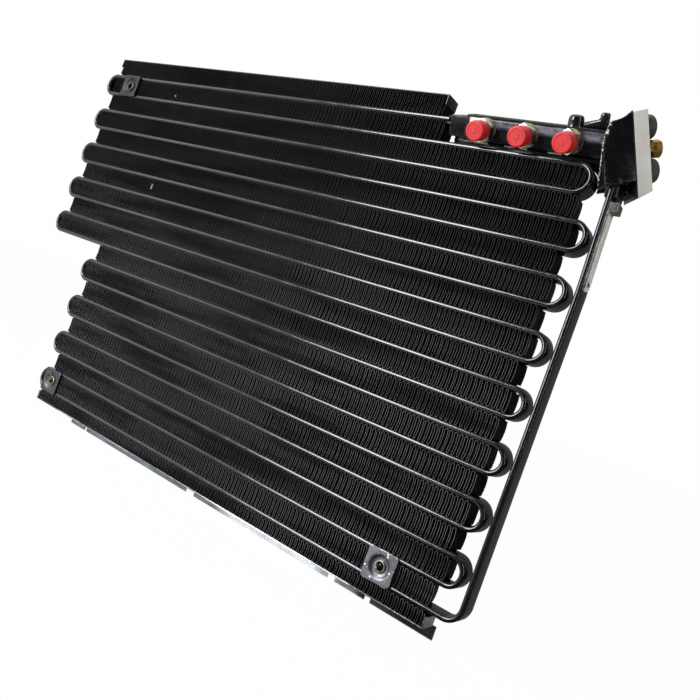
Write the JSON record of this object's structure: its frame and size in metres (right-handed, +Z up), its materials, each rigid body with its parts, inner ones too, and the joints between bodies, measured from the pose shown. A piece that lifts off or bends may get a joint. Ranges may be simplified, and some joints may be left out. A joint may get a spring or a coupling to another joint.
{
  "type": "air conditioning condenser",
  "caption": "Serpentine flat-tube condenser core with corrugated fins, header bar, capped fittings, hose block and threaded mounting inserts.",
  "frame": {"origin": "axis of the lower left mounting insert, in the plane of the tube's front edges", "axes": "+X along the passes to the right, +Y from front to back, +Z up"},
  "size_m": [0.7213, 0.0637, 0.465],
  "materials": {
    "black_paint": "glossy black paint",
    "fin_black": "satin black paint on thin sheet",
    "bare_aluminium": "bare machined aluminium",
    "rail_metal": "bare rolled sheet, partly painted over",
    "mount_metal": "bare sheet with paint mist",
    "zinc": "zinc-plated steel",
    "red_plastic": "glossy red plastic",
    "port_rubber": "dark grey rubber",
    "brass": "plain brass"
  },
  "bodies": {
    "root": {"serpentine_tube": "black_paint", "fin_strip_01": "fin_black", "fin_strip_02": "fin_black", "fin_strip_03": "fin_black", "fin_strip_04": "fin_black", "fin_strip_05": "fin_black", "fin_strip_06": "fin_black", "fin_strip_07": "fin_black", "fin_strip_08": "fin_black", "fin_strip_09": "fin_black", "fin_strip_10": "fin_black", "fin_strip_11": "fin_black", "fin_strip_12": "fin_black", "fin_strip_13": "fin_black", "fin_strip_14": "fin_black", "fin_strip_15": "fin_black", "fin_strip_16": "fin_black", "fin_strip_17": "fin_black", "fin_strip_18": "fin_black", "fin_strip_19": "fin_black", "top_side_plate": "black_paint", "bottom_rail": "rail_metal", "mount_plates": "mount_metal", "threaded_inserts": "zinc", "header_bar": "black_paint", "inlet_adapter": "black_paint", "header_boss": "black_paint", "header_gusset": "black_paint", "fitting_1": "zinc", "fitting_2": "zinc", "fitting_3": "zinc", "fitting_caps": "red_plastic", "hose_block": "black_paint", "hose_flange": "bare_aluminium", "lower_port_plug": "port_rubber", "upper_port_plug": "port_rubber", "brass_screw": "brass", "riser_stay": "bare_aluminium"}
  },
  "joints": []
}
